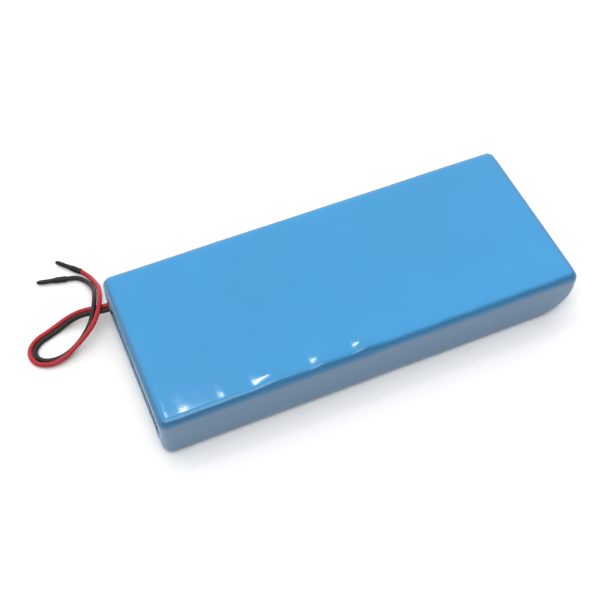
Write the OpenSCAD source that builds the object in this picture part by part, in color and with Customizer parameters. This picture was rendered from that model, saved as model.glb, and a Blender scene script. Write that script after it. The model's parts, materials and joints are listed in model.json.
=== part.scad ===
// Flat battery pack: ten round cells side by side in two moulded brackets, joined in series by
// nickel strips, with a protection board along one side, insulation sheets all round, a shrunk
// film sleeve and two free output leads that leave one short end.
//
// X runs along the row of cells, with the leads at the low end. Y runs along the cells' axes,
// from the plain side to the circuit board's side. Z is up. The origin is the middle of the
// sleeve's underside.

/* [Cells] */
// Diameter of a cell over its wrap
cell_d = 18.35; // [18.2:0.05:18.5]
// Length of a cell from its base to the top of its cap
cell_len = 65.2; // [64.8:0.1:65.4]
// Distance between the axes of two neighbouring cells
cell_pitch = 19; // [19:0.1:19.4]

/* [Brackets] */
// Height of the moulded brackets that hold the cells' ends
bracket_h = 22; // [21.5:0.5:23]
// Depth of the seat for each cell
seat_depth = 8; // [6:0.5:10]
// Thickness of the lip that stops each cell
lip_t = 1.2; // [1:0.1:1.4]

/* [Insulation] */
// Thickness of the rigid epoxy-glass boards
board_t = 1; // [0.8:0.1:1.2]
// Thickness of the insulating paper
paper_t = 0.3; // [0.2:0.05:0.4]
// Thickness of the foam sheet behind the plain side
near_foam_t = 0.7; // [0.5:0.1:1]
// Thickness of the foam sheet over the circuit board
far_foam_t = 1; // [0.8:0.1:1.5]

/* [Sleeve] */
// Thickness of the shrunk film
film_t = 0.4; // [0.3:0.05:0.5]
// Thickness of the gathered film on the two short ends
rim_t = 1; // [0.8:0.1:1.2]
// Width of the film that is turned over each short end
rim_w = 5; // [4:0.5:6]
// Radius of the sleeve's long edges
edge_r = 4; // [3.5:0.5:4.5]
// Radius of the lower edge at the end away from the leads
heel_r = 16; // [14:0.5:16]

/* [Circuit board] */
// Length of the protection board
pcb_len = 160; // [154:1:162]
// Height of the protection board on its edge
pcb_h = 19; // [18:0.5:19]
// Thickness of the protection board
pcb_t = 1.6; // [1.2:0.2:1.6]
// Room for the electronic parts on the board
part_room = 6.5; // [6:0.5:8]

/* [Leads] */
// Diameter of the output leads over their insulation
lead_d = 2.2; // [2:0.1:2.2]
// Diameter of the black caps on the leads' ends
cap_d = 2.8; // [2.7:0.1:3]
// Length of the black caps
cap_len = 14; // [12:1:16]

/* [Hidden] */
CELLS = 10;
LINKS = [for (i = [1 : CELLS - 1]) i];
function cell_name(i) = str("cell_", i);
function link_name(i) = str("link_", i, "_", i + 1);

// Along X
seat_r = cell_d / 2 + 0.125;
end_wall = 1;
row_half = (CELLS - 1) / 2 * cell_pitch;
bracket_left = -(row_half + seat_r + end_wall);
half_l = -bracket_left + board_t + rim_t;
bracket_right = half_l - rim_t - paper_t;
bracket_heel_r = heel_r - 2;
function cell_x(i) = -row_half + (i - 1) * cell_pitch;
function valley_x(i) = cell_x(i) + cell_pitch / 2;

// Along Z
skin_t = film_t + board_t + paper_t;
pack_h = bracket_h + 2 * skin_t;
mid_z = pack_h / 2;
bracket_top = pack_h - skin_t;

// Along Y
solder_gap = 1.2;
near_stack = film_t + board_t + near_foam_t + paper_t;
far_stack = paper_t + solder_gap + pcb_t + part_room + far_foam_t + board_t + film_t;
pack_w = near_stack + cell_len + 2 * lip_t + far_stack;
near_face = -pack_w / 2 + near_stack;
cell_near = near_face + lip_t;
cell_far = cell_near + cell_len;
far_face = cell_far + lip_t;
pcb_back = far_face + paper_t + solder_gap;
pcb_front = pcb_back + pcb_t;
pcb_low = mid_z - pcb_h / 2;
pcb_top = mid_z + pcb_h / 2;

// Sleeve and boards
post_r = edge_r - 0.5;
end_top_r = 3;
sheet_r = 1;
board_half_w = pack_w / 2 - edge_r;
board_half_l = half_l - rim_t - end_top_r + film_t;
side_half_l = half_l - edge_r - 0.3;
side_low = edge_r;
side_high = pack_h - edge_r;
window_half_w = pack_w / 2 - film_t - rim_w;
window_low = film_t + rim_w;
heel_window_low = heel_r / 2;
window_high = pack_h - window_low;
window_r = 4;
EPS = 0.01;

// Cell parts, measured from the cell's base along its axis
can_d = cell_d - 0.15;
can_wall = 0.25;
can_top = cell_len - 0.6;
crimp_t = 0.4;
crimp_bore_r = 6.6;
cap_seat = can_top - 2.4;
cap_seat_r = 7.9;
shoulder_low = cap_seat - 2;
shoulder_r = 7.6;
groove_r = 0.9;
groove_out = 0.35;
gasket_t = 0.6;
gasket_lip = 0.3;
washer_t = 0.25;
boss_r = 4.2;

// Nickel strips
strip_t = 0.2;
strip_half_w = 4;
strip_reach = 4;
lip_hole_r = 7.2;
slot_half = strip_half_w + 0.3;
notch_w = 2;
notch_depth = 2;
tab_len = 7.7;

// Wires
tap_d = 1;
tap_z = bracket_top - 0.8;
tap_front = pcb_front + tap_d / 2 + 0.1;
tap_end_z = pcb_top - 1.6;
joint_r = 1.1;
far_tap_shift = 2.4;
sense_z = mid_z + 3.4;
sense_valley = 4;

// Free leads: the pair's middle line from the exit, as steps in X and Y from the exit and the
// height above the surface that the pack lies on, with the pair's roll in degrees
pair_gap = 2.4;
exit_y = pack_w / 2 - 5.2;
exit_z = 8.2;
pair_route = [
    [0, 0, 8.2, 0], [-2, 0, 8.2, 0], [-6, 0.9, 7.8, 0], [-10.5, 2.6, 6.4, 0],
    [-15, 3.7, 4.6, 0], [-19.8, 3.7, 2.8, 0], [-24.5, 2.7, 1.5, 0], [-29.2, 1.2, 1.1, 0],
    [-33.7, -0.5, 1.1, 0], [-37, -3.3, 1.1, 0], [-38.2, -6.9, 1.1, 0], [-37.2, -10.5, 1.2, 0],
    [-34.2, -13, 1.4, 10], [-30, -14, 1.6, 20], [-25, -13.5, 2.3, 40], [-20, -11.7, 3.6, 55],
    [-15, -9.3, 5.4, 50], [-10.2, -6.1, 7.8, 35], [-6.6, -1.8, 9.9, 15], [-4.2, 3.2, 10.6, 0],
    [-2.8, 8.4, 9.2, 0], [-2.2, 14, 6.2, 0], [-2.8, 19.2, 3.4, 0]];
// Where each lead goes on from there: steps from the exit, and the height
positive_end = [[-3, 24.8, 1.6], [-5.6, 29.2, cap_d / 2]];
negative_end = [[-5.4, 23.2, 1.5], [-8.4, 26.4, 1.4], [-13, 27.8, cap_d / 2]];
// Which way each black cap points, in degrees about Z from +X
positive_heading = 133;
negative_heading = 167;
seal_gap = 0.2;
seal_collar = 0.9;
seal_collar_t = 1.2;
grip_len = 5;
bare_d = 1.2;
bare_len = 5;

// ---- Shapes used more than once ----

module along_x(x0, x1) {
    translate([x0, 0, 0]) rotate([90, 0, 90]) linear_extrude(x1 - x0) children();
}

module along_y(y0, y1) {
    translate([0, y1, 0]) rotate([90, 0, 0]) linear_extrude(y1 - y0) children();
}

module along_z(z0, z1) {
    translate([0, 0, z0]) linear_extrude(z1 - z0) children();
}

// The bit of a square corner that lies outside its rounding
module corner_waste(at, r, turn) {
    translate(at) rotate(turn) difference() {
        translate([-EPS, -EPS]) square(r + EPS);
        translate([r, r]) circle(r, $fn = 64);
    }
}

// A rectangle with one radius on three corners and its own on the corner at [high, low]
module rounded(low, high, r, r_heel) {
    difference() {
        translate(low) square(high - low);
        corner_waste(low, r, 0);
        corner_waste([high.x, low.y], r_heel, 90);
        corner_waste(high, r, 180);
        corner_waste([low.x, high.y], r, 270);
    }
}

// The outline round both leads where they leave the pack, a gap outside their insulation
module exit_slot(gap) {
    r = lead_d / 2 + gap;
    for (side = [-1, 1]) translate([exit_y + side * pair_gap / 2, exit_z]) circle(r, $fn = 32);
    translate([exit_y - pair_gap / 2, exit_z - r]) square([pair_gap, 2 * r]);
}

// A block rounded on all twelve edges: r on the long ones, r_post on the upright ones, r_end on
// the short ones and the larger r_heel on its heel
module pillow(low, high, r, r_post, r_end, r_heel) {
    intersection() {
        along_x(low.x, high.x) rounded([low.y, low.z], [high.y, high.z], r, r);
        along_y(low.y, high.y) rounded([low.x, low.z], [high.x, high.z], r_end, r_heel);
        along_z(low.z, high.z) rounded([low.x, low.y], [high.x, high.y], r_post, r_post);
    }
}

function unit(v) = v / norm(v);
function mixed(a, b, t) = a * (1 - t) + b * t;
function curve_point(a, b, c, t) = mixed(mixed(a, b, t), mixed(b, c, t), t);

// A route whose corners are rounded off over a length r
function eased(p, r) = [
    for (i = [0 : len(p) - 1])
        if (i == 0 || i == len(p) - 1) p[i]
        else for (k = [0 : 3])
            curve_point(p[i] + r * unit(p[i - 1] - p[i]), p[i],
                        p[i] + r * unit(p[i + 1] - p[i]), k / 3)];

function heading(p, i) = unit(p[min(i + 1, len(p) - 1)] - p[max(i - 1, 0)]);
function square_to(u, h) = unit(u - (u * h) * h);
function first_side(h) = square_to(abs(h.z) > 0.9 ? [1, 0, 0] : [0, 0, 1], h);
function ring_sides(p) = [
    for (i = 0, u = first_side(heading(p, 0)); i < len(p);
         i = i + 1, u = i < len(p) ? square_to(u, heading(p, i)) : u) u];

// A round wire of diameter d swept along the points p
module wire(p, d) {
    n = 8;
    last = len(p) - 1;
    sides = ring_sides(p);
    points = [
        for (i = [0 : last])
            for (k = [0 : n - 1])
                p[i] + d / 2 * (cos(360 * k / n) * sides[i]
                                + sin(360 * k / n) * cross(heading(p, i), sides[i]))];
    walls = [
        for (i = [0 : last - 1])
            for (k = [0 : n - 1])
                [i * n + k, (i + 1) * n + k, (i + 1) * n + (k + 1) % n, i * n + (k + 1) % n]];
    start_face = [[for (k = [0 : n - 1]) k]];
    end_face = [[for (k = [n - 1 : -1 : 0]) last * n + k]];
    polyhedron(points, concat(start_face, walls, end_face), convexity = 6);
}

// ---- Sleeve and insulation ----

module shrink_sleeve() {
    color("#53a3de") difference() {
        pillow([-half_l, -pack_w / 2, 0], [half_l, pack_w / 2, pack_h],
               edge_r, post_r, end_top_r, heel_r);
        pillow([-half_l + rim_t, -pack_w / 2 + film_t, film_t],
               [half_l - rim_t, pack_w / 2 - film_t, pack_h - film_t],
               edge_r - film_t, post_r - film_t, end_top_r - film_t, heel_r - rim_t);
        along_x(-half_l - EPS, -half_l + rim_t + EPS)
            rounded([-window_half_w, window_low], [window_half_w, window_high], window_r, window_r);
        along_x(-half_l - EPS, -half_l + rim_t + board_t + seal_collar_t) exit_slot(seal_gap);
        along_x(half_l - heel_r / 2, half_l + EPS)
            rounded([-window_half_w, heel_window_low], [window_half_w, window_high],
                    window_r, window_r);
    }
}

module flat_board(z, x0, x1) {
    color("#c8cf9a") along_z(z, z + board_t)
        rounded([x0, -board_half_w], [x1, board_half_w], sheet_r, sheet_r);
}

module top_board() {
    flat_board(pack_h - film_t - board_t, -board_half_l, board_half_l);
}

module bottom_board() {
    flat_board(film_t, -board_half_l, half_l - heel_r);
}

// A sheet that stands on its long edge along one side of the pack
module side_sheet(y, t, half_l, low, high) {
    along_y(y, y + t) rounded([-half_l, low], [half_l, high], sheet_r, heel_r - side_low);
}

module near_board() {
    color("#c8cf9a")
        side_sheet(-pack_w / 2 + film_t, board_t, side_half_l, side_low, side_high);
}

module far_board() {
    color("#c8cf9a")
        side_sheet(pack_w / 2 - film_t - board_t, board_t, side_half_l, side_low, side_high);
}

module left_end_board() {
    lead_notch = lead_d + 1;
    color("#c8cf9a") difference() {
        along_x(-half_l + rim_t, -half_l + rim_t + board_t)
            rounded([-board_half_w, end_top_r], [board_half_w, pack_h - end_top_r],
                    sheet_r, sheet_r);
        translate([-half_l, exit_y - pair_gap / 2 - lead_notch / 2, exit_z - lead_notch / 2])
            cube([rim_t + board_t + EPS, board_half_w, lead_notch]);
    }
}

module near_foam() {
    color("#3a3a3c")
        side_sheet(near_face - paper_t - near_foam_t, near_foam_t, side_half_l - 1,
                   side_low, side_high);
}

module far_foam() {
    color("#3a3a3c")
        side_sheet(pcb_front + part_room, far_foam_t, pcb_len / 2, side_low, side_high);
}

module near_paper() {
    color("#9fc7c1")
        side_sheet(near_face - paper_t, paper_t, side_half_l - 1, side_low, side_high);
}

module far_paper() {
    color("#9fc7c1") difference() {
        side_sheet(far_face, paper_t, row_half + strip_reach - 0.2, side_low, side_high);
        for (i = [2 : 2 : CELLS - 2])
            translate([valley_x(i), far_face - EPS, mid_z + 2]) rotate([-90, 0, 0])
                cylinder(h = paper_t + 2 * EPS, r = 1.5, $fn = 24);
    }
}

// One sheet over the top of the cells, round the end away from the leads and back underneath
module paper_wrap() {
    color("#9fc7c1") along_y(-board_half_w, board_half_w) difference() {
        rounded([bracket_left, skin_t - paper_t],
                [bracket_right + paper_t, bracket_top + paper_t], 2.3, bracket_heel_r + paper_t);
        rounded([bracket_left - heel_r, skin_t], [bracket_right, bracket_top], 2, bracket_heel_r);
    }
}

// ---- Brackets ----

// The bracket's outline drawn out along Y, with the lip on the side that points to face_y
module bracket(face_y, into, first_link) {
    lip_y = face_y + into * lip_t;
    back_y = lip_y + into * seat_depth;
    color("#e9e7df") difference() {
        along_y(min(face_y, back_y), max(face_y, back_y))
            rounded([bracket_left, skin_t], [bracket_right, bracket_top], 2, bracket_heel_r);
        for (i = [1 : CELLS]) {
            along_y(min(lip_y, back_y + into), max(lip_y, back_y + into))
                translate([cell_x(i), mid_z]) circle(seat_r, $fn = 96);
            along_y(min(face_y - into, lip_y + into), max(face_y - into, lip_y + into))
                translate([cell_x(i), mid_z]) circle(lip_hole_r, $fn = 64);
        }
        for (i = [first_link : 2 : CELLS - 1])
            along_y(min(face_y - into, lip_y), max(face_y - into, lip_y))
                translate([cell_x(i), mid_z - slot_half]) square([cell_pitch, 2 * slot_half]);
        for (i = LINKS)
            translate([valley_x(i) - notch_w / 2, min(face_y, back_y) - EPS, bracket_top - notch_depth])
                cube([notch_w, lip_t + seat_depth + 2 * EPS, notch_depth + EPS]);
        for (i = [first_link : 2 : CELLS - 1])
            translate([valley_x(i) - notch_w / 2, min(face_y, lip_y) - EPS, mid_z])
                cube([notch_w, lip_t + EPS, bracket_h / 2 + EPS]);
    }
}

module near_bracket() {
    bracket(near_face, 1, 1);
}

module far_bracket() {
    bracket(far_face, -1, 2);
}

// ---- Cells ----

// Puts a child that is drawn base down at the place of cell i: odd cells have their cap at the
// circuit board's side, even cells at the plain side
module at_cell(i) {
    if (i % 2 == 1)
        translate([cell_x(i), cell_near, mid_z]) rotate([-90, 0, 0]) children();
    else
        translate([cell_x(i), cell_far, mid_z]) rotate([90, 0, 0]) children();
}

module ring(r0, r1, z0, z1) {
    translate([r0, z0]) square([r1 - r0, z1 - z0]);
}

module can() {
    r = can_d / 2;
    color("#c4c6c8") rotate_extrude($fn = 64) difference() {
        square([r, can_top]);
        ring(0, r - can_wall, can_wall, shoulder_low);
        ring(0, shoulder_r, shoulder_low - EPS, cap_seat + EPS);
        ring(0, cap_seat_r, cap_seat, can_top - crimp_t);
        ring(0, crimp_bore_r, can_top - crimp_t - EPS, can_top + EPS);
        translate([r + groove_out, (shoulder_low + cap_seat) / 2]) circle(groove_r, $fn = 32);
        corner_waste([r, 0], 0.8, 90);
        corner_waste([r, can_top], 0.8, 180);
    }
}

module cell_rolls() {
    for (i = [1 : CELLS]) at_cell(i)
        color("#4b3f38") rotate_extrude($fn = 64)
            ring(1.5, can_d / 2 - can_wall - 0.1, can_wall + 0.3, shoulder_low - 0.4);
}

module cell_gaskets() {
    top = can_top - crimp_t;
    for (i = [1 : CELLS]) at_cell(i)
        color("#e8eef0") rotate_extrude($fn = 64) {
            ring(cap_seat_r - gasket_t, cap_seat_r, cap_seat, top);
            ring(crimp_bore_r - gasket_t, cap_seat_r, cap_seat, cap_seat + gasket_lip);
            ring(crimp_bore_r, cap_seat_r, top - gasket_lip, top);
        }
}

module cell_caps() {
    for (i = [1 : CELLS]) at_cell(i)
        color("#d9dadb") rotate_extrude($fn = 64) {
            ring(0, cap_seat_r - gasket_t, cap_seat + gasket_lip, can_top - crimp_t - gasket_lip);
            difference() {
                ring(0, boss_r, cap_seat + 1, cell_len);
                corner_waste([boss_r, cell_len], 0.4, 180);
            }
        }
}

module cap_washers() {
    for (i = [1 : CELLS]) at_cell(i)
        color("#f2f1ec") rotate_extrude($fn = 64)
            ring(boss_r + 0.4, can_d / 2 - 0.5, can_top, can_top + washer_t);
}

module cell_wraps() {
    wrap_t = (cell_d - can_d) / 2;
    for (i = [1 : CELLS]) at_cell(i)
        color("#3f8f6b") rotate_extrude($fn = 64) {
            ring(can_d / 2, cell_d / 2, 0.5, can_top + washer_t + wrap_t);
            ring(can_d / 2 - 1.6, cell_d / 2, can_top + washer_t, can_top + washer_t + wrap_t);
        }
}

// ---- Nickel strips ----

// A strip welded to cell i and cell i + 1, slit over each cell for the weld
module link_strip(i) {
    y = i % 2 == 1 ? cell_near - strip_t : cell_far;
    color("#cfcfcb") along_y(y, y + strip_t) difference() {
        rounded([cell_x(i) - strip_reach, mid_z - strip_half_w],
                [cell_x(i + 1) + strip_reach, mid_z + strip_half_w], sheet_r, sheet_r);
        for (x = [cell_x(i), cell_x(i + 1)])
            translate([x - 2.5, mid_z - 0.4]) square([5, 0.8]);
    }
}

// A strip welded to an end cell and folded back over the insulating paper as a solder tab
module terminal_strip() {
    color("#cfcfcb") translate([0, 0, mid_z - strip_half_w]) {
        translate([-strip_reach, cell_far, 0]) cube([2 * strip_reach, strip_t, 2 * strip_half_w]);
        translate([-strip_reach - strip_t, cell_far, 0])
            cube([strip_t, lip_t + paper_t + strip_t, 2 * strip_half_w]);
        translate([-strip_reach - strip_t, far_face + paper_t, 0])
            cube([tab_len, strip_t, 2 * strip_half_w]);
    }
}

module positive_strip() {
    translate([cell_x(1), 0, 0]) terminal_strip();
}

module negative_strip() {
    translate([cell_x(CELLS), 0, 0]) mirror([1, 0, 0]) terminal_strip();
}

// ---- Circuit board ----

module circuit_board() {
    color("#1d6b3f") along_y(pcb_back, pcb_front)
        rounded([-pcb_len / 2, pcb_low], [pcb_len / 2, pcb_top], sheet_r, sheet_r);
}

// A block that lies on the board's face, centred at x and z
module on_board(x, z, size) {
    translate([x - size.x / 2, pcb_front, z - size.z / 2]) cube(size);
}

module mosfets() {
    for (k = [0 : 5]) {
        x = -62 + 11 * k;
        color("#26262a") {
            on_board(x, mid_z, [6.6, 2.3, 6.1]);
            on_board(x, mid_z + 3.5, [5.3, 0.9, 1.2]);
            for (s = [-1, 1]) on_board(x + 2.3 * s, mid_z - 4.2, [0.8, 1, 2.6]);
        }
    }
}

// A flat package with a row of legs along both long sides
module chip(x, z, size, legs, pitch) {
    color("#2b2b30") {
        on_board(x, z, size);
        for (k = [0 : legs - 1])
            on_board(x + (k - (legs - 1) / 2) * pitch, z, [0.3, size.y / 2, size.z + 2]);
    }
}

module chips() {
    chip(22, mid_z, [9.8, 1.1, 4.4], 15, 0.6);
    chip(38, mid_z, [5, 1.4, 4], 4, 1.27);
}

module shunt_resistors() {
    for (z = [mid_z - 4, mid_z, mid_z + 4])
        color("#2a2a2c") on_board(8, z, [6.4, 0.8, 3.1]);
}

module balance_resistors() {
    for (k = [0 : CELLS - 1])
        color("#202022") on_board(-68 + 15 * k, pcb_low + 2.2, [6.3, 0.7, 3]);
}

module capacitors() {
    for (k = [0 : 7])
        color("#b08a5c") on_board(46 + 3.4 * k, mid_z + 1, [1.3, 1.2, 2]);
    for (x = [30, 33])
        color("#b08a5c") on_board(x, mid_z - 1, [2.5, 1.8, 3.2]);
}

// ---- Wires inside ----

// From a strip on the plain side, up in the bracket's groove, along the valley between two cells
// and over to the circuit board
module near_tap_wires() {
    strip_y = cell_near - strip_t - tap_d / 2;
    for (i = [1 : 2 : CELLS - 1])
        color(i % 4 == 1 ? "#d8d8d4" : "#c9c13a")
            wire(eased([
                [valley_x(i), strip_y, mid_z + 2.6], [valley_x(i), strip_y, tap_z],
                [valley_x(i), tap_front, tap_z], [valley_x(i), tap_front, tap_end_z]], 1.1), tap_d);
}

// From a strip on the circuit board's side, up behind the board and over its top edge
module far_tap_wires() {
    back_y = far_face + paper_t + solder_gap / 2;
    for (i = [2 : 2 : CELLS - 2])
        color("#3d6fc4")
            wire(eased([
                [valley_x(i), cell_far + strip_t + joint_r / 2, mid_z + 2],
                [valley_x(i), back_y, mid_z + 2],
                [valley_x(i) - far_tap_shift, back_y, mid_z + 6],
                [valley_x(i) - far_tap_shift, back_y, tap_z],
                [valley_x(i) - far_tap_shift, tap_front, tap_z],
                [valley_x(i) - far_tap_shift, tap_front, tap_end_z]], 0.55), tap_d);
    tab_x = cell_x(1) + 2;
    color("#c8322c")
        wire(eased([
            [tab_x, far_face + paper_t + strip_t + tap_d / 2, mid_z + 1.5],
            [tab_x + 2, far_face + paper_t + strip_t + tap_d, sense_z],
            [tab_x + 2.4, tap_front, sense_z],
            [-pcb_len / 2 + 2.9, tap_front, sense_z]], 0.9), tap_d);
}

module negative_bus_wire() {
    tab_x = cell_x(CELLS) - 0.5;
    y = far_face + paper_t + strip_t + lead_d / 2;
    color("#1c1c1e")
        wire(eased([
            [tab_x, y, mid_z], [pcb_len / 2 + 3.4, y + 0.2, mid_z],
            [pcb_len / 2 + 1.2, pcb_front + lead_d / 2 + 0.2, mid_z],
            [pcb_len / 2 - 4, pcb_front + lead_d / 2 + 0.1, mid_z]], 1.4), lead_d);
}

// A bead in the valley between two cells, with a pair of thin wires to the board
module thermistor() {
    x = valley_x(sense_valley);
    bead_z = mid_z + 7;
    color("#2c2a2a") {
        translate([x, -11, bead_z]) rotate([-90, 0, 0]) cylinder(h = 4, r = 1.3, $fn = 24);
        for (s = [-1, 1])
            wire(eased([
                [x + 0.45 * s, -8, bead_z], [x + 0.45 * s, 2, tap_z - 0.4],
                [x + 0.45 * s, far_face + 0.8, tap_z - 0.4],
                [x + (4 + s) * 0.9, far_face + 2.6, tap_z], [x + (4 + s) * 0.9, tap_front, tap_z],
                [x + (4 + s) * 0.9, tap_front, tap_end_z]], 0.9), 0.8);
    }
}

// A heap of solder on a face that looks along +Y
module heap(x, y, z, r) {
    translate([x, y, z]) rotate([-90, 0, 0]) cylinder(h = 0.6 * r, r1 = r, r2 = 0.5 * r, $fn = 32);
}

module solder_joints() {
    board_z = tap_end_z - joint_r + 0.1;
    color("#b9bcc0") {
        for (i = LINKS)
            heap(i % 2 == 1 ? valley_x(i) : valley_x(i) - far_tap_shift, pcb_front, board_z, joint_r);
        for (i = [1 : 2 : CELLS - 1])
            mirror([0, 1, 0]) heap(valley_x(i), -(cell_near - strip_t), mid_z + 1.6, joint_r);
        for (s = [-1, 1])
            heap(valley_x(sense_valley) + (4 + s) * 0.9, pcb_front, tap_end_z - 0.7, 0.8);
        heap(-pcb_len / 2 + 4, pcb_front, sense_z, joint_r);
        heap(pcb_len / 2 - 5.6, pcb_front, mid_z, 1.8);
        heap(-pcb_len / 2 + 7.6, pcb_front, mid_z + 0.3, 1.8);
    }
}

// Two bands of tape round the whole row of cells
module tape_bands() {
    tape_t = 0.1;
    r = cell_d / 2;
    low = [-row_half - r, mid_z - r];
    high = [row_half + r, mid_z + r];
    grow = [tape_t, tape_t];
    for (y = [-24, 6])
        color("#c98a2b") along_y(y, y + 12) difference() {
            rounded(low - grow, high + grow, r + tape_t - EPS, r + tape_t - EPS);
            rounded(low, high, r - EPS, r - EPS);
        }
}

// Dabs that hold the tap wires down in the valleys
module silicone_dabs() {
    for (i = [1 : 2 : CELLS - 1])
        color("#e6e6e2") difference() {
            translate([valley_x(i), -9, tap_z - 1.4]) rotate([-90, 0, 0])
                cylinder(h = 7, r = 2.1, $fn = 32);
            for (c = [i, i + 1])
                translate([cell_x(c), -10, mid_z]) rotate([-90, 0, 0])
                    cylinder(h = 9, r = cell_d / 2 + 0.12, $fn = 96);
            translate([valley_x(i), -10, tap_z]) rotate([-90, 0, 0])
                cylinder(h = 9, r = tap_d / 2, $fn = 24);
        }
}

// ---- Output leads ----

// The silicone plug that seals and holds the two leads where they leave the sleeve
module lead_seal() {
    inner = -half_l + rim_t + board_t;
    color("#d9dcdc") difference() {
        union() {
            along_x(-half_l, inner) exit_slot(seal_gap);
            along_x(inner, inner + seal_collar_t) exit_slot(seal_collar);
        }
        for (side = [-1, 1])
            along_x(-half_l - EPS, inner + seal_collar_t + EPS)
                translate([exit_y + side * pair_gap / 2, exit_z]) circle(lead_d / 2, $fn = 32);
    }
}

// From the solder tab of the positive strip to the exit
module positive_tail() {
    y = exit_y + pair_gap / 2;
    tab_y = far_face + paper_t + strip_t + lead_d / 2;
    color("#b8283a")
        wire(eased([
            [cell_x(1) + 1.5, tab_y, mid_z - 0.6], [cell_x(1) - 3, tab_y + 0.2, mid_z - 0.6],
            [-half_l + 7.6, y - 0.2, exit_z + 2.7], [-half_l + 5, y, exit_z],
            [-half_l, y, exit_z]], 1.7), lead_d);
}

// From the board's output pad to the exit
module negative_tail() {
    y = exit_y - pair_gap / 2;
    board_y = pcb_front + lead_d / 2 + 0.1;
    color("#1c1c1e")
        wire(eased([
            [-pcb_len / 2 + 5.8, board_y, mid_z + 0.3], [-pcb_len / 2 - 1, board_y, mid_z],
            [-half_l + 11, y - 0.4, exit_z + 0.4], [-half_l + 6, y, exit_z],
            [-half_l, y, exit_z]], 2.4), lead_d);
}

// The way that the pair points at station i of its route, level with the surface
function pair_heading(i) =
    i == 0 ? [-1, 0, 0] :
    let (a = pair_route[i - 1], b = pair_route[min(i + 1, len(pair_route) - 1)])
    unit([b.x - a.x, b.y - a.y, 0]);

// The middle of one lead at station i: the pair lies side by side, rolled where the route says so
function lead_point(i, side) =
    let (s = pair_route[i], h = pair_heading(i), roll = s[3])
    [s.x, s.y, s.z] + side * pair_gap / 2 * [h.y * cos(roll), -h.x * cos(roll), sin(roll)];

exit = [-half_l, exit_y, 0];

// One lead's whole route: the pair's stations, its own end and the straight grip in its cap
function lead_route(side, end, way) =
    let (mouth = end[len(end) - 1], dir = [cos(way), sin(way), 0])
    [
        for (i = [0 : len(pair_route) - 1]) exit + lead_point(i, side),
        for (p = end) exit + p,
        exit + mouth + dir * grip_len / 2,
        exit + mouth + dir * grip_len
    ];

module positive_lead() {
    color("#b8283a") wire(lead_route(1, positive_end, positive_heading), lead_d);
}

module negative_lead() {
    color("#1c1c1e") wire(lead_route(-1, negative_end, negative_heading), lead_d);
}

// Puts a child that is drawn along Z at the mouth of a cap, pointing along the lead
module at_mouth(end, way) {
    translate(exit + end[len(end) - 1]) rotate([0, 0, way]) rotate([0, 90, 0]) children();
}

module end_cap() {
    color("#202023") rotate_extrude($fn = 48) difference() {
        square([cap_d / 2, cap_len]);
        ring(0, lead_d / 2, -EPS, grip_len);
        ring(0, bare_d / 2, grip_len - EPS, grip_len + bare_len);
        corner_waste([cap_d / 2, cap_len], 1, 180);
    }
}

module positive_end_cap() {
    at_mouth(positive_end, positive_heading) end_cap();
}

module negative_end_cap() {
    at_mouth(negative_end, negative_heading) end_cap();
}

module bare_end() {
    color("#c9ccd0") translate([0, 0, grip_len]) cylinder(h = bare_len, d = bare_d, $fn = 24);
}

module stripped_ends() {
    at_mouth(positive_end, positive_heading) bare_end();
    at_mouth(negative_end, negative_heading) bare_end();
}

// ---- Every node ----

shrink_sleeve();
top_board();
bottom_board();
near_board();
far_board();
left_end_board();
near_foam();
far_foam();
near_paper();
far_paper();
paper_wrap();
near_bracket();
far_bracket();
for (i = [1 : CELLS])
    at_cell(i) can();
cell_rolls();
cell_gaskets();
cell_caps();
cap_washers();
cell_wraps();
for (i = LINKS)
    link_strip(i);
positive_strip();
negative_strip();
circuit_board();
mosfets();
chips();
shunt_resistors();
balance_resistors();
capacitors();
near_tap_wires();
far_tap_wires();
negative_bus_wire();
thermistor();
solder_joints();
tape_bands();
silicone_dabs();
lead_seal();
positive_tail();
negative_tail();
positive_lead();
negative_lead();
positive_end_cap();
negative_end_cap();
stripped_ends();
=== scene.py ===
"""Battery pack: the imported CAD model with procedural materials, and detailed pieces for its film
sleeve, its two free leads and their shrunk caps.

Lengths are in millimetres unless a name ends in _M or _m. Shader scales are per metre and bump heights are
in metres, because Blender's objects are in metres.
"""
import json
import math
import random

import bpy
import numpy as np
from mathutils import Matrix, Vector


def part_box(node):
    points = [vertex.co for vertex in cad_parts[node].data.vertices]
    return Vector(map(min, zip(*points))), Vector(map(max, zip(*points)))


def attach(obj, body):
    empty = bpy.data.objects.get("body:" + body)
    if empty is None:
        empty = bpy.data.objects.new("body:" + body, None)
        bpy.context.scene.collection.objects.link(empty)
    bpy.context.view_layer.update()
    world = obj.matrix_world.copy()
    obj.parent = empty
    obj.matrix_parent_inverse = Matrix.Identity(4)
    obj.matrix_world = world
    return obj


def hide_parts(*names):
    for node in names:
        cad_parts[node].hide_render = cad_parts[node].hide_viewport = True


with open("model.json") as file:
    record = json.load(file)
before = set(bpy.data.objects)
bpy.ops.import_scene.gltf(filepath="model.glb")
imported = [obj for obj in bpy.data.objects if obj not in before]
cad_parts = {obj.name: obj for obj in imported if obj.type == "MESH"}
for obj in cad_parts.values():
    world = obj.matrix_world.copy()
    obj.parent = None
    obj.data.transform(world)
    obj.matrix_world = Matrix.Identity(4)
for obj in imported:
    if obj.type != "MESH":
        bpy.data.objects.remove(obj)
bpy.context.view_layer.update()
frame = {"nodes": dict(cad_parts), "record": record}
nodes = frame["nodes"]

# ---- Sizes of the pack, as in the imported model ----

MM = 0.001
HALF_L, HALF_W, HEIGHT = (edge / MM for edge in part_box("shrink_sleeve")[1])
# Rounding of the sleeve's edges, and of its underside at the end away from the leads
EDGE_R = 4.0
HEEL_R = 16.0
CELL_PITCH = 19.0
LEAD_D = 2.2
# Between the two leads' centrelines
PAIR_GAP = 2.4
CAP_D = 2.8
CAP_LEN = 14.0
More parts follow.
